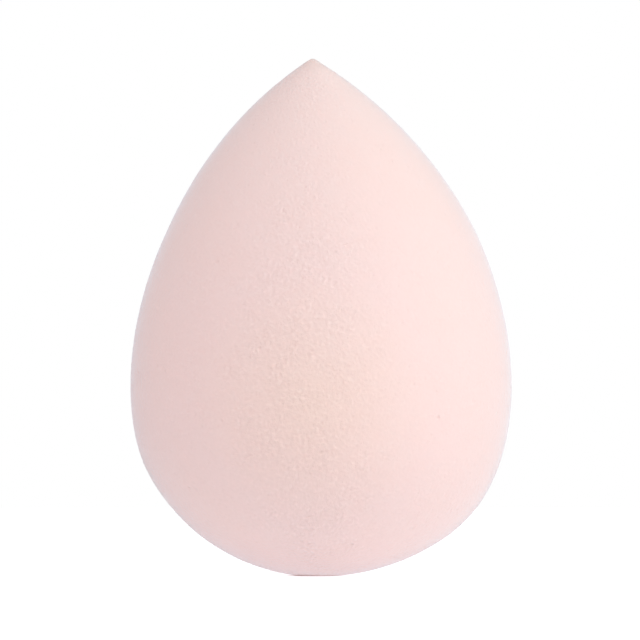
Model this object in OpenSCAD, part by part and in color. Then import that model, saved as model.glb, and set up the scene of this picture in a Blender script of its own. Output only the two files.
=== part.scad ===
// Teardrop makeup sponge, a single piece of soft open-cell foam with no skin and no insert.
// Its outline is a chain of round arcs, each tangent to the next, turned about the upright axis:
// a crown cut off by a small flat, a shoulder, the lower and upper belly, the flank and the point.
// The origin is the centre of that flat, on which the sponge stands, and +Z runs up to the point.

/* [Overall] */
// Height from the flat to the point
height = 60; // [50:0.5:75]
// Diameter of the belly at its widest level
belly_d = 44.3; // [36:0.1:54]
// Height of the widest level above the flat
belly_z = 21.8; // [18:0.1:28]

/* [Point and upper belly] */
// Radius that rounds off the point
tip_r = 0.7; // [0.4:0.1:3]
// Radius of the upper belly's arc
upper_r = 39.5; // [25:0.5:60]
// Angle that the upper belly's arc turns through before the flank takes over
upper_angle = 13; // [5:1:25]

/* [Crown and lower belly] */
// Diameter of the flat on which the sponge stands
rest_d = 5.6; // [3:0.1:12]
// Radius of the crown, as a share of that of an ellipse which fills the lower half
crown_share = 1.07; // [1.02:0.01:1.4]
// Radius of the lower belly's arc, as a share of that of the same ellipse
lower_share = 1.33; // [1.1:0.01:1.6]
// Angle that the lower belly's arc turns through, up to the widest level
lower_angle = 12; // [5:1:18]

/* [Hidden] */
foam_colour = [0.97, 0.85, 0.83];
// Angle that one straight step of an arc turns through
arc_step = 2;
$fn = 180;

belly_r = belly_d / 2;
rest_r = rest_d / 2;

// The unit vector at an angle above the level
function direction(angle) = [cos(angle), sin(angle)];

// The angle of a vector above the level
function angle_of(vector) = atan2(vector.y, vector.x);

// Radius of the arc that leaves a point along a normal and closes onto a round end
function closing_radius(start, normal, end_centre, end_r) =
    let (reach = start - end_centre)
    (reach * reach - end_r * end_r) / (2 * (normal * reach - end_r));

// Angle of the normal where that arc and the round end touch
function touch_angle(arc_centre, arc_r, end_centre, end_r) =
    angle_of((end_centre - arc_centre) / (arc_r - end_r));

// Points of an arc between two angles, but for its last, which is the first of the next arc
function arc_points(centre, radius, from, to) =
    let (steps = ceil((to - from) / arc_step))
    [for (i = [0:steps - 1]) centre + radius * direction(from + (to - from) * i / steps)];

// Upper belly, up from the widest level
upper_centre = [belly_r - upper_r, belly_z];
upper_end = upper_centre + upper_r * direction(upper_angle);

// Point, and the flank that rises to it from the upper belly
tip_centre = [0, height - tip_r];
flank_r = closing_radius(upper_end, direction(upper_angle), tip_centre, tip_r);
flank_centre = upper_end - flank_r * direction(upper_angle);
flank_angle = touch_angle(flank_centre, flank_r, tip_centre, tip_r);

// Lower belly, down from the widest level
lower_r = lower_share * belly_z * belly_z / belly_r;
lower_centre = [belly_r - lower_r, belly_z];
lower_end = lower_centre + lower_r * direction(-lower_angle);

// Crown, and the shoulder that falls to it from the lower belly
crown_r = crown_share * belly_r * belly_r / belly_z;
rest_angle = -acos(rest_r / crown_r);
crown_centre = [0, -crown_r * sin(rest_angle)];
shoulder_r = closing_radius(lower_end, direction(-lower_angle), crown_centre, crown_r);
shoulder_centre = lower_end - shoulder_r * direction(-lower_angle);
shoulder_angle = touch_angle(shoulder_centre, shoulder_r, crown_centre, crown_r);

// Half of the outline, up from the middle of the flat
half_outline = [
    [0, 0],
    each arc_points(crown_centre, crown_r, rest_angle, shoulder_angle),
    each arc_points(shoulder_centre, shoulder_r, shoulder_angle, -lower_angle),
    each arc_points(lower_centre, lower_r, -lower_angle, 0),
    each arc_points(upper_centre, upper_r, 0, upper_angle),
    each arc_points(flank_centre, flank_r, upper_angle, flank_angle),
    each arc_points(tip_centre, tip_r, flank_angle, 90),
    [0, height]
];

module foam_body() {
    color(foam_colour)
        rotate_extrude() polygon(half_outline);
}

foam_body();
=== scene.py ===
import math

import bpy
import numpy as np
from bpy.props import FloatProperty, FloatVectorProperty, IntProperty, PointerProperty
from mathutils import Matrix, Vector


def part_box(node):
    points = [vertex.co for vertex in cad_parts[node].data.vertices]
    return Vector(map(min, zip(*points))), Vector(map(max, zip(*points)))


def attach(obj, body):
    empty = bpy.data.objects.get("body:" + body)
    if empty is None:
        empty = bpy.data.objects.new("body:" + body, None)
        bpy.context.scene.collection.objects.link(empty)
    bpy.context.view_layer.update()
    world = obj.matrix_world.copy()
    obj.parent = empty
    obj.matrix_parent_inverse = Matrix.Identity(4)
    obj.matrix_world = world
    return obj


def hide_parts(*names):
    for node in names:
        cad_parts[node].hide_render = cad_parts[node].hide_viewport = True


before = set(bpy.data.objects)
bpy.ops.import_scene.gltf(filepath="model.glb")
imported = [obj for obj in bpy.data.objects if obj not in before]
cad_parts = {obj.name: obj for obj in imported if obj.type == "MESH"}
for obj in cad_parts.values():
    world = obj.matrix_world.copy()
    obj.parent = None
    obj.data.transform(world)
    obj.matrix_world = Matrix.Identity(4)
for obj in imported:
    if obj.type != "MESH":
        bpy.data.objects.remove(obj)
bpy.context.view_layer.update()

bl_info = {
    "name": "Teardrop Makeup Sponge",
    "version": (1, 0, 0),
    "blender": (4, 5, 0),
    "location": "View3D > Sidebar > Sponge",
    "description": "A foam makeup sponge with a point above a round belly, on a plain studio floor",
    "category": "Add Mesh",
}

# The solid's box before anything is made, and its lowest and highest corners
FOAM_LOW, FOAM_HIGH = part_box("foam_body")
MM = 0.001


class FoamShape(bpy.types.PropertyGroup):
    """Sizes of the sponge's outline, as a chain of round arcs, and of its few irregularities."""

    height: FloatProperty(
        name="Height",
        description="From the flat on which the sponge stands to the point",
        default=FOAM_HIGH.z - FOAM_LOW.z,
        unit="LENGTH",
    )
    belly_diameter: FloatProperty(
        name="Belly Diameter",
        description="Diameter at the widest level",
        default=44.3 * MM,
        unit="LENGTH",
    )
    belly_level: FloatProperty(
        name="Belly Level",
        description="Height of the widest level above the flat",
        default=21.8 * MM,
        unit="LENGTH",
    )
    tip_radius: FloatProperty(
        name="Tip Radius",
        description="Radius that rounds off the point",
        default=0.7 * MM,
        unit="LENGTH",
    )
    upper_radius: FloatProperty(
        name="Upper Belly Radius",
        description="Radius of the upper belly's arc",
        default=39.5 * MM,
        unit="LENGTH",
    )
    upper_angle: FloatProperty(
        name="Upper Belly Angle",
        description="Angle that the upper belly's arc turns through before the flank takes over",
        default=math.radians(13),
        subtype="ANGLE",
    )
    rest_diameter: FloatProperty(
        name="Rest Diameter",
        description="Diameter of the flat on which the sponge stands",
        default=5.6 * MM,
        unit="LENGTH",
    )
    crown_share: FloatProperty(
        name="Crown Share",
        description="Crown's radius, as a share of that of an ellipse which fills the lower half",
        default=1.07,
    )
    lower_share: FloatProperty(
        name="Lower Belly Share",
        description="Radius of the lower belly's arc, as a share of that of the same ellipse",
        default=1.33,
    )
    lower_angle: FloatProperty(
        name="Lower Belly Angle",
        description="Angle that the lower belly's arc turns through, up to the widest level",
        default=math.radians(12),
        subtype="ANGLE",
    )
    tip_lean: FloatProperty(
        name="Tip Lean",
        description="How far the ground point stands off the axis, to the left of the front",
        default=1.0 * MM,
        unit="LENGTH",
    )
    low_bulge: FloatProperty(
        name="Low Bulge",
        description="How far the foam sits over to the right of the front, low on the belly",
        default=0.4 * MM,
        unit="LENGTH",
    )


class FoamGrain(bpy.types.PropertyGroup):
    """Sizes of the foam's open cells, its larger pores and its slow unevenness."""

    around: IntProperty(
        name="Steps Around",
        description="Faces in each ring of the surface",
        default=1080,
    )
    rings: IntProperty(
        name="Rings",
        description="Rings from the middle of the flat to the point",
        default=640,
    )
    grain_size: FloatProperty(
        name="Grain Size",
        description="Distance over which the foam's grain rises and falls",
        default=0.335 * MM,
        unit="LENGTH",
        precision=5,
    )
    grain_depth: FloatProperty(
        name="Grain Depth",
        description="How far the grain rises and falls",
        default=0.083 * MM,
        unit="LENGTH",
        precision=6,
    )
    low_coarseness: FloatProperty(
        name="Low Coarseness",
        description="Depth of the grain at the sponge's foot, as a multiple of the grain depth",
        default=1.5,
    )
    high_coarseness: FloatProperty(
        name="High Coarseness",
        description="Depth of the grain at the point, as a multiple of the grain depth",
        default=0.7,
    )
    side_coarseness: FloatProperty(
        name="Side Coarseness",
        description="Depth of the grain on the sides, as a multiple of that in the front's middle",
        default=0.42,
    )
    right_coarseness: FloatProperty(
        name="Right Coarseness",
        description="Depth of the grain on the front's right, as a multiple of that on the sides",
        default=0.7,
    )
    point_coarseness: FloatProperty(
        name="Point Coarseness",
        description="Depth of the grain at the very point, as a multiple of that just below it",
        default=2.6,
    )
    patch_size: FloatProperty(
        name="Patch Size",
        description="Distance over which the foam turns from finer to coarser",
        default=1.6 * MM,
        unit="LENGTH",
    )
    cell_spacing: FloatProperty(
        name="Cell Spacing",
        description="Mean distance between neighbouring open cells",
        default=0.8 * MM,
        unit="LENGTH",
        precision=5,
    )
    cell_radius: FloatProperty(
        name="Cell Radius",
        description="Radius of the widest of the small open cells",
        default=0.2 * MM,
        unit="LENGTH",
        precision=5,
    )
    pore_spacing: FloatProperty(
        name="Pore Spacing",
        description="Spacing of the places in the foam where a larger bubble may lie",
        default=3.7 * MM,
        unit="LENGTH",
    )
    pore_radius: FloatProperty(
        name="Pore Radius",
        description="Radius of the largest bubbles that the surface cuts open",
        default=0.26 * MM,
        unit="LENGTH",
        precision=5,
    )
    lump_size: FloatProperty(
        name="Lump Size",
        description="Distance over which the ground surface rises and falls",
        default=9 * MM,
        unit="LENGTH",
    )
    lump_depth: FloatProperty(
        name="Lump Depth",
        description="How far the ground surface falls below its outline",
        default=0.07 * MM,
        unit="LENGTH",
        precision=6,
    )


class FoamFinish(bpy.types.PropertyGroup):
    """Colours of the foam, and of the shade painted into its hollows."""

    foam_colour: FloatVectorProperty(
        name="Foam",
        description="Colour of the foam's surface",
        default=(0.9, 0.698, 0.679),
        subtype="COLOR",
        size=3,
    )
    # Painted shade: the colour that the foam goes over to in its hollows, open cells and pores,
    # where shade falls
    shade_colour: FloatVectorProperty(
        name="Open Cells",
        description="Colour at the bottom of an open pore",
        default=(0.70, 0.52, 0.485),
        subtype="COLOR",
        size=3,
    )
    mottle_colour: FloatVectorProperty(
        name="Mottling",
        description="Colour towards which the foam drifts in broad soft patches",
        default=(0.908, 0.693, 0.667),
        subtype="COLOR",
        size=3,
    )
    warm_colour: FloatVectorProperty(
        name="Warm Patch",
        description="Colour of the foam in the faint warm patch low on the front",
        default=(0.9, 0.698, 0.632),
        subtype="COLOR",
        size=3,
    )
    tip_colour: FloatVectorProperty(
        name="Point",
        description="Colour of the very point, which is a little darker than the rest",
        default=(0.66, 0.54, 0.5),
        subtype="COLOR",
        size=3,
    )
    tip_reach: FloatProperty(
        name="Point Reach",
        description="Distance from the point over which its colour fades into the rest of the foam",
        default=3.5 * MM,
        unit="LENGTH",
    )
    warm_reach: FloatProperty(
        name="Warm Reach",
        description="Distance over which the warm patch fades into the rest of the foam",
        default=15 * MM,
        unit="LENGTH",
    )


class StudioStage(bpy.types.PropertyGroup):
    """Where the camera stands, and how bright the lamps are."""

    camera_distance: FloatProperty(
        name="Camera Distance",
        description="From the camera to the sponge's axis",
        default=1.4,
        unit="LENGTH",
    )
    key_power: FloatProperty(
        name="Key Power",
        description="Power of the broad soft lamp on the right",
        default=2.77,
        unit="POWER",
    )
    front_power: FloatProperty(
        name="Front Power",
        description="Power of the broad lamp above the camera",
        default=2.27,
        unit="POWER",
    )
    top_power: FloatProperty(
        name="Top Power",
        description="Power of the broad lamp overhead",
        default=1.33,
        unit="POWER",
    )
    left_power: FloatProperty(
        name="Left Power",
        description="Power of the broad lamp on the left",
        default=0.89,
        unit="POWER",
    )
    back_power: FloatProperty(
        name="Back Power",
        description="Power of the broad lamp behind",
        default=1.5,
        unit="POWER",
    )
    surround_strength: FloatProperty(
        name="Surround",
        description="Strength of the even light from all sides",
        default=0.46,
    )
    floor_glow: FloatProperty(
        name="Floor Glow",
        description="How brightly the floor glows from below, as a light table does",
        default=0.715,
    )
    # Painted contact shadow: size of the patch under the sponge where the floor's glow is cut back
    shadow_radius: FloatProperty(
        name="Contact Radius",
        description="Radius of the patch of table that the sponge's weight keeps dark",
        default=2.4 * MM,
        unit="LENGTH",
    )


# Outline

def direction(angle):
    """Unit vectors at angles above the level: their cosines and sines."""
    return np.stack([np.cos(angle), np.sin(angle)], -1)


def closing_radius(start, normal, end_centre, end_radius):
    """Radius of the arc that leaves a point along a normal and closes onto a round end.

    With q from the end's centre to the point: (q.q - r.r) / (2 (n.q - r))."""
    reach = start - end_centre
    return (reach @ reach - end_radius**2) / (2 * (normal @ reach - end_radius))


def touch_angle(arc_centre, arc_radius, end_centre, end_radius):
    """Angle of the normal where an arc and the round end on which it closes touch."""
    normal = (end_centre - arc_centre) / (arc_radius - end_radius)
    return math.atan2(normal[1], normal[0])


def outline_arcs(shape):
    """The outline from the flat's edge up to the point, as rows of centre, radius and two angles.

    Each arc is tangent to the next: crown, shoulder, lower belly, upper belly, flank and point."""
    belly_r, rest_r = shape.belly_diameter / 2, shape.rest_diameter / 2
    upper_normal = direction(shape.upper_angle)
    upper_centre = np.array([belly_r - shape.upper_radius, shape.belly_level])
    upper_end = upper_centre + shape.upper_radius * upper_normal
    tip_centre = np.array([0, shape.height - shape.tip_radius])
    flank_r = closing_radius(upper_end, upper_normal, tip_centre, shape.tip_radius)
    flank_centre = upper_end - flank_r * upper_normal
    flank_angle = touch_angle(flank_centre, flank_r, tip_centre, shape.tip_radius)

    lower_r = shape.lower_share * shape.belly_level**2 / belly_r
    lower_normal = direction(-shape.lower_angle)
    lower_centre = np.array([belly_r - lower_r, shape.belly_level])
    lower_end = lower_centre + lower_r * lower_normal
    crown_r = shape.crown_share * belly_r**2 / shape.belly_level
    rest_angle = -math.acos(rest_r / crown_r)
    crown_centre = np.array([0, -crown_r * math.sin(rest_angle)])
    shoulder_r = closing_radius(lower_end, lower_normal, crown_centre, crown_r)
    shoulder_centre = lower_end - shoulder_r * lower_normal
    shoulder_angle = touch_angle(shoulder_centre, shoulder_r, crown_centre, crown_r)

    return np.array([
        [*crown_centre, crown_r, rest_angle, shoulder_angle],
        [*shoulder_centre, shoulder_r, shoulder_angle, -shape.lower_angle],
        [*lower_centre, lower_r, -shape.lower_angle, 0],
        [*upper_centre, shape.upper_radius, 0, shape.upper_angle],
        [*flank_centre, flank_r, shape.upper_angle, flank_angle],
        [*tip_centre, shape.tip_radius, flank_angle, math.pi / 2],
    ])


def outline_at(arcs, rest_r, share):
    """Radius, height and normal angle at shares of the way from the flat's middle to the point.

    The way runs along the flat and then along each arc in turn, so equal shares are equally far
    apart."""
    centre, radius, first, last = arcs[:, :2], arcs[:, 2], arcs[:, 3], arcs[:, 4]
    ends = rest_r + np.cumsum(radius * (last - first))
    way = share * ends[-1]
    arc = np.searchsorted(ends[:-1], way)
    starts = np.concatenate([[rest_r], ends[:-1]])
    angle = first[arc] + (way - starts[arc]) / radius[arc]
    place = centre[arc] + radius[arc, None] * direction(angle)
    flat = way < rest_r
    place[flat] = np.stack([way[flat], np.zeros(flat.sum())], -1)
    angle[flat] = -math.pi / 2
    return place[:, 0], place[:, 1], angle


# Foam structure

# Odd factors of the three counts and of the seed, the width of a word, and the two stirring factors
COUNT_FACTORS, SEED_FACTOR = (0x8DA6B343, 0xD8163841, 0xCB1AB31F), 0x9E3779B1
WORD_MASK, WORD_VALUES, STIR_FACTORS = 0xFFFFFFFF, 2**32, (0x7FEB352D, 0x846CA68B)

# A squared distance past any bubble's, and the factors that mix its three numbers into its own
PAST_ANY, OWN_FACTORS = 9.0, (7, 11, 13)

# Level directions, a little left of the front and well right of it, in which the foam is ground
# roughest and smoothest, and the cosines between which each of them takes hold
ROUGH_SIDE, ROUGH_COSINES = np.array((-0.07, -0.9975)), (0.82, 0.98)
SMOOTH_SIDE, SMOOTH_COSINES = np.array((0.87, -0.5)), (0.25, 0.9)

# Shares of the height between which the foam turns finer, and between which the point turns coarse
FINER_SHARES, POINT_SHARES = (0.42, 0.98), (0.85, 0.97)

# Heights between which the right of the front turns smooth above the crown, and the share of that
# by which it is rougher on the crown instead
CROWN_LEVELS, CROWN_GAIN = (5 * MM, 17 * MM), 0.2

# Least factor of a patch of foam on its grain, and the spread of these factors
PATCH_LEAST, PATCH_SPREAD = 0.65, 0.7

# Radius of the smallest cells and pores as shares of the largest, the share that pores lose near
# the point, and the shares of the height between which they lose it
CELL_LEAST, PORE_LEAST, PORE_LOSS, PORE_LOSS_SHARES = 0.3, 0.55, 0.45, (0.6, 0.8)

# Share of the finer layer in the lumps, and how many times finer than the broad one it is
FINE_LUMP_SHARE, FINE_LUMP_RATIO = 0.15, 2.6

# How far the grain's mean lies below the outline as a share of its depth, and how deep the bowls of
# cells and pores are as shares of their radii
GRAIN_MEAN, CELL_BOWL, PORE_BOWL = 0.5, 0.3, 0.6

# How much shade is painted on the foam on average, how much the grain's lows deepen it and its
# ridges lift it as a painted highlight, and how much cells and pores deepen it
MEAN_SHADE, GRAIN_SHADE, RIDGE_HIGHLIGHT, CELL_SHADE, PORE_SHADE = 0.33, 0.35, 0.1, 0.3, 0.4

# Heights of the grain between which a rise counts as a ridge, on which a painted highlight goes
RIDGE_RISES = (0.25, 0.5)

# Share of the height from which the point leans, and the power with which it does
LEAN_START, LEAN_POWER = 2 / 3, 1.25

# Height and spread of the low bulge, and the share of it that goes within a reach of the flat
BULGE_LEVEL, BULGE_SPREAD, BULGE_LOSS, BULGE_LOSS_REACH = 6.5 * MM, 5 * MM, 0.75, 0.7 * MM


def scattered(cell, seed):
    """Three even random numbers from 0 to 1 for each whole-number cell, the same on every run.

    The three counts are multiplied by odd numbers, joined by exclusive or and stirred between
    draws."""
    x, y, z = (
        cell[..., k].astype(np.int64).astype(np.uint32) * np.uint32(factor)
        for k, factor in enumerate(COUNT_FACTORS)
    )
    word = x ^ y ^ z ^ np.uint32(seed * SEED_FACTOR & WORD_MASK)
    drawn = []
    for _ in range(3):
        word = (word ^ word >> 16) * np.uint32(STIR_FACTORS[0])
        word = (word ^ word >> 15) * np.uint32(STIR_FACTORS[1])
        word ^= word >> 16
        drawn.append(word / WORD_VALUES)
    return np.stack(drawn, -1)


def nearest_bubble(points, spacing, seed):
    """Distance to the nearest of a set of scattered points, in spacings, and its own number.

    Space is cut into cubes, one point lies anywhere in each, and the 27 cubes round a place are
    tried."""
    place = points / spacing
    home = np.floor(place)
    nearest = np.full(len(points), PAST_ANY)
    own = np.zeros(len(points))
    for step in np.ndindex(3, 3, 3):
        cube = home + np.array(step) - 1
        drawn = scattered(cube, seed)
        squared = ((cube + drawn - place) ** 2).sum(-1)
        closer = squared < nearest
        nearest = np.where(closer, squared, nearest)
        own = np.where(closer, (drawn * OWN_FACTORS).sum(-1) % 1, own)
    return np.sqrt(nearest), own


def soft_noise(points, spacing, seed):
    """Smooth numbers from 0 to 1: values drawn at the corners of cubes, blended between them.

    The blend is 3 t^2 - 2 t^3 of the part t of the way from one corner to the next."""
    place = points / spacing
    home = np.floor(place)
    part = place - home
    part = part * part * (3 - 2 * part)
    total = np.zeros(len(points))
    for corner in np.ndindex(2, 2, 2):
        weight = np.where(np.array(corner), part, 1 - part).prod(-1)
        total += weight * scattered(home + np.array(corner), seed)[:, 0]
    return total


def rolling_noise(points, spacing, seed):
    """Smooth numbers about 0: slopes drawn at the corners of cubes, blended between them.

    The blend is 6 t^5 - 15 t^4 + 10 t^3 of the part t of the way from one corner to the next."""
    place = points / spacing
    home = np.floor(place)
    part = place - home
    passed = part**3 * (part * (6 * part - 15) + 10)
    total = np.zeros(len(points))
    for corner in np.ndindex(2, 2, 2):
        corner = np.array(corner)
        weight = np.where(corner, passed, 1 - passed).prod(-1)
        slope = 2 * scattered(home + corner, seed) - 1
        total += weight * (slope * (part - corner)).sum(-1)
    return total


def bowl(distance, reach):
    """A round dip: 1 at its middle, falling as a parabola to 0 at its reach."""
    return np.clip(1 - (distance / reach) ** 2, 0, 1)


def eased(value, low, high):
    """0 up to a low value, 1 from a high value, and a smoothstep between them."""
    part = np.clip((value - low) / (high - low), 0, 1)
    return part * part * (3 - 2 * part)


def coarseness(points, grain):
    """How deep the grain is at each place, as a multiple of the grain depth.

    Grinding left the foam coarsest low in the middle of the front and of the back, finer on the
    sides and towards the top, finest on the right of the front above the crown, and coarse again at
    the very point. It also varies in patches."""
    height = points[:, 2]
    up = eased(height / height.max(), *FINER_SHARES)
    at_point = eased(height / height.max(), *POINT_SHARES)
    outward = points[:, :2] / (np.hypot(points[:, 0], points[:, 1]) + MM)[:, None]
    beside = 1 - eased(abs(outward @ ROUGH_SIDE), *ROUGH_COSINES)
    above_crown = (1 + CROWN_GAIN) * eased(height, *CROWN_LEVELS) - CROWN_GAIN
    right = eased(outward @ SMOOTH_SIDE, *SMOOTH_COSINES) * above_crown
    patches = soft_noise(points, grain.patch_size, seed=43)
    depth = grain.low_coarseness + (grain.high_coarseness - grain.low_coarseness) * up
    depth *= 1 - (1 - grain.side_coarseness) * beside
    depth *= 1 - (1 - grain.right_coarseness) * right
    depth *= 1 + (grain.point_coarseness - 1) * at_point
    return depth * (PATCH_LEAST + PATCH_SPREAD * patches)


def foam_relief(points, grain):
    """How far the surface lies below its outline, how much shade is painted on it and how coarse
    its grain.

    A rolling grain covers all of it. Every place also belongs to the nearest bubble, and a bubble
    that the cut opened leaves a bowl, as wide as the square of its own random number makes it. A
    few larger ones leave pores, and the whole surface rises and falls a little over broad lumps."""
    coarse = coarseness(points, grain)
    rolls = rolling_noise(points, grain.grain_size, seed=11)
    distance, own = nearest_bubble(points, grain.cell_spacing, seed=17)
    cell_r = grain.cell_radius * (CELL_LEAST + (1 - CELL_LEAST) * own**2)
    cells = bowl(distance * grain.cell_spacing, cell_r)
    distance, own = nearest_bubble(points, grain.pore_spacing, seed=23)
    pore_r = grain.pore_radius * (PORE_LEAST + (1 - PORE_LEAST) * own)
    pore_r *= 1 - PORE_LOSS * eased(points[:, 2] / points[:, 2].max(), *PORE_LOSS_SHARES)
    pores = bowl(distance * grain.pore_spacing, pore_r)
    lumps = (1 - FINE_LUMP_SHARE) * soft_noise(points, grain.lump_size, seed=37)
    lumps += FINE_LUMP_SHARE * soft_noise(points, grain.lump_size / FINE_LUMP_RATIO, seed=41)
    depth = grain.grain_depth * (GRAIN_MEAN - coarse * rolls) + grain.lump_depth * lumps
    depth += CELL_BOWL * cell_r * cells + PORE_BOWL * pore_r * pores
    # Painted shade: deepest in the grain's lows, in open cells and in pores, where shade falls, and
    # lifted on the ridges as a painted highlight
    highlit_ridges = eased(coarse * rolls, *RIDGE_RISES)
    hollow = MEAN_SHADE - GRAIN_SHADE * coarse * rolls - RIDGE_HIGHLIGHT * highlit_ridges
    hollow += CELL_SHADE * cells * cell_r / grain.cell_radius + PORE_SHADE * pores
    return depth, np.clip(hollow, 0, 1), coarse


def midline(shape, height):
    """How far the middle of each level lies to the right of the axis.

    Above two thirds of the height it drifts left to the point by a power law, and low on the belly
    it swells right by a bell curve, most of which goes near the flat."""
    rise = np.clip((height / shape.height - LEAN_START) / (1 - LEAN_START), 0, 1)
    bell = np.exp(-(((height - BULGE_LEVEL) / BULGE_SPREAD) ** 2))
    settle = np.exp(-height / BULGE_LOSS_REACH)
    return -shape.tip_lean * rise**LEAN_POWER + shape.low_bulge * (bell - BULGE_LOSS * settle)


def ring_faces(around, rings):
    """Corner lists of the faces between rings of vertices that stand between two poles.

    Vertex 0 is the lower pole, each ring follows it, and the last vertex is the upper pole."""
    step = np.arange(around)
    after = (step + 1) % around
    start = 1 + around * np.arange(rings - 1)[:, None]
    quads = [start + step, start + after, start + around + after, start + around + step]
    top_ring = 1 + around * (rings - 1)
    pole = np.zeros(around, int)
    fan_low = np.stack([pole, 1 + after, 1 + step], -1)
    fan_high = np.stack([top_ring + step, top_ring + after, pole + top_ring + around], -1)
    return fan_low, np.stack(quads, -1).reshape(-1, 4), fan_high


def filled_mesh(name, points, face_groups):
    """A mesh of points and groups of faces, each group an array with one row of corners a face."""
    corners = np.concatenate([g.ravel() for g in face_groups])
    sides = np.concatenate([np.full(len(g), g.shape[1]) for g in face_groups])
    mesh = bpy.data.meshes.new(name)
    mesh.vertices.add(len(points))
    mesh.vertices.foreach_set("co", points.astype(np.float32).ravel())
    mesh.loops.add(len(corners))
    mesh.loops.foreach_set("vertex_index", corners.astype(np.int32))
    mesh.polygons.add(len(sides))
    mesh.polygons.foreach_set("loop_start", (np.cumsum(sides) - sides).astype(np.int32))
    mesh.polygons.foreach_set("use_smooth", np.ones(len(sides), bool))
    mesh.update(calc_edges=True)
    return mesh


def sponge_mesh(name, shape, grain):
    """The foam's surface: the outline turned about the axis, moved by the midline and sunk.

    A place at a share s of the way up the outline and an angle a round the axis lies at
    (r(s) cos a + m(z), r(s) sin a, z(s)), less the relief along the outline's normal."""
    around, rings = grain.around, grain.rings
    share = np.arange(rings + 2) / (rings + 1)
    radius, height, tilt = outline_at(outline_arcs(shape), shape.rest_diameter / 2, share)
    turn = 2 * math.pi * np.arange(around) / around
    ring = np.repeat(np.arange(1, rings + 1), around)
    row = np.concatenate([[0], ring, [rings + 1]])
    angle = np.concatenate([[0], np.tile(turn, rings), [0]])
    across = direction(angle)
    smooth = np.column_stack([radius[row, None] * across, height[row]])
    normal = np.column_stack([np.cos(tilt[row])[:, None] * across, np.sin(tilt[row])])
    depth, hollow, coarse = foam_relief(smooth, grain)
    points = smooth - depth[:, None] * normal
    points[:, 0] += midline(shape, height[row])
    points[:, 2] = np.maximum(points[:, 2], 0)

    mesh = filled_mesh(name, points, ring_faces(around, rings))
    # The painted shade of hollows and ridges goes on the mesh beside the grain's coarseness, for
    # the material to read
    for label, value in {"hollow": hollow, "coarse": coarse}.items():
        attribute = mesh.attributes.new(label, "FLOAT", "POINT")
        attribute.data.foreach_set("value", value.astype(np.float32))
    lay_out(mesh, around, rings)
    return mesh


def lay_out(mesh, around, rings):
    """A map of the surface for textures, with the turn across it and the share of the way up it."""
    width, rise = 1 / around, 1 / (rings + 1)
    step = np.arange(around) / around
    low = np.stack([
        np.stack([step + width / 2, step * 0], -1),
        np.stack([step + width, step * 0 + rise], -1),
        np.stack([step, step * 0 + rise], -1),
    ], 1)
    up = (1 + np.arange(rings - 1))[:, None] / (rings + 1) + 0 * step
    across = step + 0 * up
    quads = np.stack([
        np.stack([across, up], -1),
        np.stack([across + width, up], -1),
        np.stack([across + width, up + rise], -1),
        np.stack([across, up + rise], -1),
    ], 2)
    high = np.stack([
        np.stack([step, step * 0 + rings * rise], -1),
        np.stack([step + width, step * 0 + rings * rise], -1),
        np.stack([step + width / 2, step * 0 + 1], -1),
    ], 1)
    places = np.concatenate([g.reshape(-1, 2) for g in (low, quads, high)])
    mesh.uv_layers.new(name="OFBake").uv.foreach_set("vector", places.astype(np.float32).ravel())


# Shading

class Wire:
    """A socket in a node tree, on which sums and products make Math nodes."""

    def __init__(self, tree, socket):
        self.tree = tree
        self.socket = socket

    def math(self, operation, *others):
        inputs = dict(enumerate([self, *others]))
        return self.tree.add("ShaderNodeMath", {"operation": operation}, inputs)

    def __add__(self, other):
        return self.math("ADD", other)

    def __mul__(self, other):
        return self.math("MULTIPLY", other)

    def __sub__(self, other):
        return self.math("SUBTRACT", other)

    def __rsub__(self, other):
        return self.tree.add("ShaderNodeMath", {"operation": "SUBTRACT"}, {0: other, 1: self})

    __radd__ = __add__
    __rmul__ = __mul__

    def clipped(self):
        return self.tree.add("ShaderNodeClamp", {}, {"Value": self})


class Tree:
    """A material's or world's nodes, with one method that adds any of them."""

    def __init__(self, owner):
        owner.use_nodes = True
        self.nodes = owner.node_tree.nodes
        self.links = owner.node_tree.links
        self.nodes.clear()

    def add(self, kind, settings, inputs, output=0):
        node = self.nodes.new(kind)
        for key, value in settings.items():
            setattr(node, key, value)
        for key, value in inputs.items():
            if isinstance(value, Wire):
                self.links.new(value.socket, node.inputs[key])
            else:
                node.inputs[key].default_value = value
        return Wire(self, node.outputs[output]) if len(node.outputs) else node

    def background_seen(self):
        """1 where the camera, a reflection or a view through glass sees the surface, else 0."""
        paths = [
            self.add("ShaderNodeLightPath", {}, {}, output=name)
            for name in ("Is Camera Ray", "Is Glossy Ray", "Is Transmission Ray")
        ]
        return (paths[0] + paths[1] + paths[2]).clipped()

    def blend(self, factor, first, second):
        """A colour between two others."""
        settings = {"data_type": "RGBA", "blend_type": "MIX"}
        return self.add("ShaderNodeMix", settings, {0: factor, 6: first, 7: second}, output=2)


# Middle of the faint warm patch, on the surface low on the front, and the point itself
WARM_MIDDLE = (-1 * MM, -21.5 * MM, 20 * MM)
TIP = (-1 * MM, 0, FOAM_HIGH.z)

# Size of the broad patches of colour, the noise value from which they show, and their steepness
TONE_SIZE, TONE_START, TONE_SLOPE = 7 * MM, 0.35, 2.5

# Sizes of the finest specks and of the fuzz, the specks' share in them, and their depth together
SPECK_SIZE, FUZZ_SIZE, SPECK_SHARE, SPECK_DEPTH = 0.17 * MM, 0.3 * MM, 0.6, 0.05 * MM

# How far the point goes over to its darker colour, and how far the painted shade goes over to the
# shade colour
TIP_TINT, SHADE_TINT = 0.4, 0.53

# How far left of the axis the painted contact shadow under the sponge lies, and how softly it ends
SHADOW_ASIDE, SHADOW_FADE = 0.8 * MM, 1.2 * MM

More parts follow.
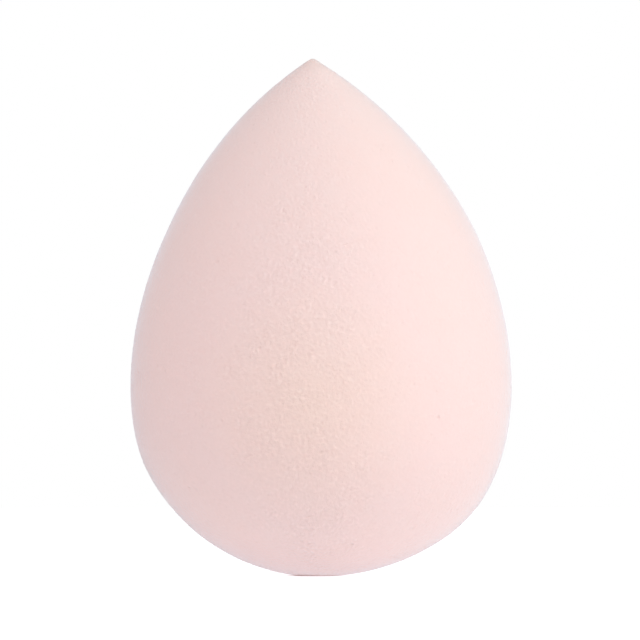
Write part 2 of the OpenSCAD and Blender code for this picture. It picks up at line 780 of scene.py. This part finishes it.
# The share of its glow that the floor keeps in the painted contact shadow, its colour there, pink
# as a painted bounce from the foam, and its colour in the open
SHADOW_GLOW, SHADOW_BOUNCE_TINT, OPEN_TINT = 0.4, (1, 0.72, 0.7, 1), (0.957, 0.967, 1, 1)

# Factor on the floor's glow at the left, its rise to the right, and the width over which it rises
GLOW_LEFT, GLOW_RISE, GLOW_LEAN_REACH = 0.87, 0.26, 80 * MM

# What the glow lacks to look white to the camera, and the colour in which the floor itself reflects
SEEN_GLOW, FLOOR_GREY = 0.2, (0.35, 0.35, 0.35, 1)


def opaque(colour):
    """A colour's three numbers with an opacity of 1."""
    return (*colour, 1)


def near(tree, place, middle, reach):
    """1 at a middle, falling evenly to 0 at a reach from it."""
    inputs = {0: place, 1: middle}
    away = tree.add("ShaderNodeVectorMath", {"operation": "DISTANCE"}, inputs, output="Value")
    return (1 - away * (1 / reach)).clipped()


def foam_material(finish):
    """Matte open-cell foam, a soft pink with shade painted into its open cells and hollows and a
    painted highlight on its ridges, drifting in broad patches.
    """
    material = bpy.data.materials.new("foam")
    tree = Tree(material)
    place = tree.add("ShaderNodeTexCoord", {}, {}, output="Object")
    # Painted shade of the hollows, open cells and pores, lifted on the ridges as a painted
    # highlight
    hollow = tree.add("ShaderNodeAttribute", {"attribute_name": "hollow"}, {}, output="Fac")
    coarse = tree.add("ShaderNodeAttribute", {"attribute_name": "coarse"}, {}, output="Fac")
    patches = tree.add("ShaderNodeTexNoise", {}, {
        "Vector": place, "Scale": 1 / TONE_SIZE, "Detail": 3, "Roughness": 0.5,
    })
    specks = tree.add("ShaderNodeTexVoronoi", {"feature": "F1"}, {
        "Vector": place, "Scale": 1 / SPECK_SIZE, "Randomness": 1,
    })
    fibres = tree.add("ShaderNodeTexNoise", {}, {
        "Vector": place, "Scale": 1 / FUZZ_SIZE, "Detail": 4, "Roughness": 0.6,
    })
    drift = ((patches - TONE_START) * TONE_SLOPE).clipped()
    warmth = near(tree, place, WARM_MIDDLE, finish.warm_reach)
    at_tip = near(tree, place, TIP, finish.tip_reach) * TIP_TINT
    colour = tree.blend(drift, opaque(finish.foam_colour), opaque(finish.mottle_colour))
    colour = tree.blend(warmth, colour, opaque(finish.warm_colour))
    colour = tree.blend(at_tip, colour, opaque(finish.tip_colour))
    # The painted shade pulls the colour towards the shade colour
    colour = tree.blend((hollow * SHADE_TINT).clipped(), colour, opaque(finish.shade_colour))
    height = (specks * SPECK_SHARE + fibres * (1 - SPECK_SHARE)) * coarse
    relief = tree.add("ShaderNodeBump", {}, {
        "Strength": 1, "Distance": SPECK_DEPTH, "Height": height,
    })
    surface = tree.add("ShaderNodeBsdfPrincipled", {}, {
        "Base Color": colour,
        "Roughness": 0.92,
        "Specular IOR Level": 0.25,
        "Subsurface Weight": 0.2,
        "Subsurface Radius": (1, 0.8, 0.75),
        "Subsurface Scale": 1.2 * MM,
        "Sheen Weight": 0.8,
        "Sheen Roughness": 0.3,
        "Sheen Tint": (0.8, 0.9, 1, 1),
        "Normal": relief,
    })
    tree.add("ShaderNodeOutputMaterial", {}, {"Surface": surface})
    return material


def floor_material(stage):
    """A light table, plain white to the camera and brighter towards the right.

    It is dark only in a painted contact shadow under the sponge, tinted pink as a painted bounce
    from the foam."""
    material = bpy.data.materials.new("studio_floor")
    tree = Tree(material)
    seen = tree.background_seen()
    place = tree.add("ShaderNodeTexCoord", {}, {}, output="Object")
    across = tree.add("ShaderNodeSeparateXYZ", {}, {0: place}, output="X")
    lean = (across * (1 / GLOW_LEAN_REACH) + 0.5).clipped() * GLOW_RISE + GLOW_LEFT
    # Painted contact shadow: the glow is cut back, and tinted pink as a painted bounce from the
    # foam, in a patch under the sponge
    moved = {0: place, 1: (SHADOW_ASIDE, 0, 0)}
    aside = tree.add("ShaderNodeVectorMath", {"operation": "ADD"}, moved)
    away = tree.add("ShaderNodeVectorMath", {"operation": "LENGTH"}, {0: aside}, output="Value")
    clear = ((away - stage.shadow_radius) * (1 / SHADOW_FADE)).clipped()
    tint = tree.blend(clear, SHADOW_BOUNCE_TINT, OPEN_TINT)
    matte = tree.add("ShaderNodeBsdfDiffuse", {}, {"Color": FLOOR_GREY})
    strength = seen * SEEN_GLOW + lean * stage.floor_glow
    strength = strength * (clear * (1 - SHADOW_GLOW) + SHADOW_GLOW)
    light = tree.add("ShaderNodeVectorMath", {"operation": "SCALE"}, {0: tint, "Scale": strength})
    glow = tree.add("ShaderNodeEmission", {}, {"Color": light, "Strength": 1})
    surface = tree.add("ShaderNodeAddShader", {}, {0: matte, 1: glow})
    tree.add("ShaderNodeOutputMaterial", {}, {"Surface": surface})
    return material


# Operators

class MAKEUP_SPONGE_OT_foam_body(bpy.types.Operator):
    """Make the foam body"""

    bl_idname = "makeup_sponge.foam_body"
    bl_label = "Foam Body"

    def execute(self, context):
        scene = context.scene
        mesh = sponge_mesh("foam_body_surface", scene.foam_shape, scene.foam_grain)
        mesh.materials.append(foam_material(scene.foam_finish))
        piece = bpy.data.objects.new("foam_body_surface", mesh)
        scene.collection.objects.link(piece)
        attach(piece, "root")
        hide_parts("foam_body")
        return {"FINISHED"}


def aimed(name, data, place, target):
    """An object at a place, with its -Z axis towards a target."""
    thing = bpy.data.objects.new(name, data)
    thing.location = place
    thing.rotation_euler = (Vector(target) - Vector(place)).to_track_quat("-Z", "Y").to_euler()
    bpy.context.scene.collection.objects.link(thing)
    return thing


# What the lamps face, and each lamp's name, place, width, height and colour
LAMP_TARGET = (0, 0, 0.03)
LAMPS = (
    ("key", (0.72, -0.24, 0.36), 0.9, 0.7, (0.97, 1, 0.938)),
    ("front", (0, -0.6, 0.6), 0.6, 0.6, (1, 0.785, 0.79)),
    ("top", (0.2, -0.3, 0.8), 0.6, 0.6, (0.42, 1, 1)),
    ("left", (-0.85, 0, 0.25), 0.6, 0.6, (1, 0.87, 0.9)),
    ("back", (0, 0.9, 0.25), 0.6, 0.4, (1, 1, 1)),
)

# Half of the floor's side
FLOOR_REACH = 0.5


def soft_lamp(name, place, width, height, power, colour):
    """A broad rectangular lamp that faces the sponge."""
    data = bpy.data.lights.new(name, "AREA")
    data.shape = "RECTANGLE"
    data.size, data.size_y = width, height
    data.energy = power
    data.color = colour
    aimed(name, data, place, LAMP_TARGET)


# The photograph's frame, in its own pixels: the whole picture, the sponge's point, base and axis
PICTURE_SIDE = 640
POINT_ROW, BASE_ROW, AXIS_COLUMN = 58.2, 575.7, 321.1


def place_camera(stage):
    """A level camera with a long lens, which shows the point and base at the photograph's rows."""
    height = FOAM_HIGH.z - FOAM_LOW.z
    pixel = height / (BASE_ROW - POINT_ROW)
    level = (BASE_ROW - PICTURE_SIDE / 2) * pixel
    aside = (PICTURE_SIDE / 2 - AXIS_COLUMN) * pixel
    data = bpy.data.cameras.new("camera")
    data.lens = data.sensor_width * stage.camera_distance / (PICTURE_SIDE * pixel)
    data.clip_start, data.clip_end = 0.01, 50
    camera = aimed("camera", data, (aside, -stage.camera_distance, level), (aside, 0, level))
    bpy.context.scene.camera = camera


class MAKEUP_SPONGE_OT_stage(bpy.types.Operator):
    """Set up the floor, the lamps and the camera"""

    bl_idname = "makeup_sponge.stage"
    bl_label = "Stage"

    def execute(self, context):
        scene = context.scene
        stage = scene.studio_stage
        place_camera(stage)

        square = np.array([[-1, -1, 0], [1, -1, 0], [1, 1, 0], [-1, 1, 0]])
        floor_mesh = filled_mesh("studio_floor", FLOOR_REACH * square, [np.arange(4)[None]])
        floor_mesh.materials.append(floor_material(stage))
        floor = bpy.data.objects.new("studio_floor", floor_mesh)
        scene.collection.objects.link(floor)

        for name, place, width, height, colour in LAMPS:
            soft_lamp(name, place, width, height, getattr(stage, name + "_power"), colour)

        world = bpy.data.worlds.new("surround")
        scene.world = world
        tree = Tree(world)
        seen = tree.background_seen()
        light = {"Color": (1, 1, 1, 1), "Strength": seen + (1 - seen) * stage.surround_strength}
        background = tree.add("ShaderNodeBackground", {}, light)
        tree.add("ShaderNodeOutputWorld", {}, {"Surface": background})

        scene.view_settings.view_transform = "Standard"
        return {"FINISHED"}


class MAKEUP_SPONGE_PT_panel(bpy.types.Panel):
    """The sponge's sizes, finish and stage, with a button for each step"""

    bl_idname = "MAKEUP_SPONGE_PT_panel"
    bl_label = "Makeup Sponge"
    bl_space_type = "VIEW_3D"
    bl_region_type = "UI"
    bl_category = "Sponge"

    def draw(self, context):
        for group, owner in GROUPS.items():
            box = self.layout.box()
            values = getattr(context.scene, group)
            for name in owner.__annotations__:
                box.prop(values, name)
        for step in STEPS:
            self.layout.operator(step.bl_idname)


GROUPS = {
    "foam_shape": FoamShape,
    "foam_grain": FoamGrain,
    "foam_finish": FoamFinish,
    "studio_stage": StudioStage,
}
STEPS = (MAKEUP_SPONGE_OT_stage, MAKEUP_SPONGE_OT_foam_body)
CLASSES = (*GROUPS.values(), *STEPS, MAKEUP_SPONGE_PT_panel)


def register():
    for each in CLASSES:
        bpy.utils.register_class(each)
    for group, owner in GROUPS.items():
        setattr(bpy.types.Scene, group, PointerProperty(type=owner))


def unregister():
    for group in GROUPS:
        delattr(bpy.types.Scene, group)
    for each in reversed(CLASSES):
        bpy.utils.unregister_class(each)


def main():
    register()
    bpy.ops.makeup_sponge.stage()
    bpy.ops.makeup_sponge.foam_body()


if __name__ == "__main__":
    main()
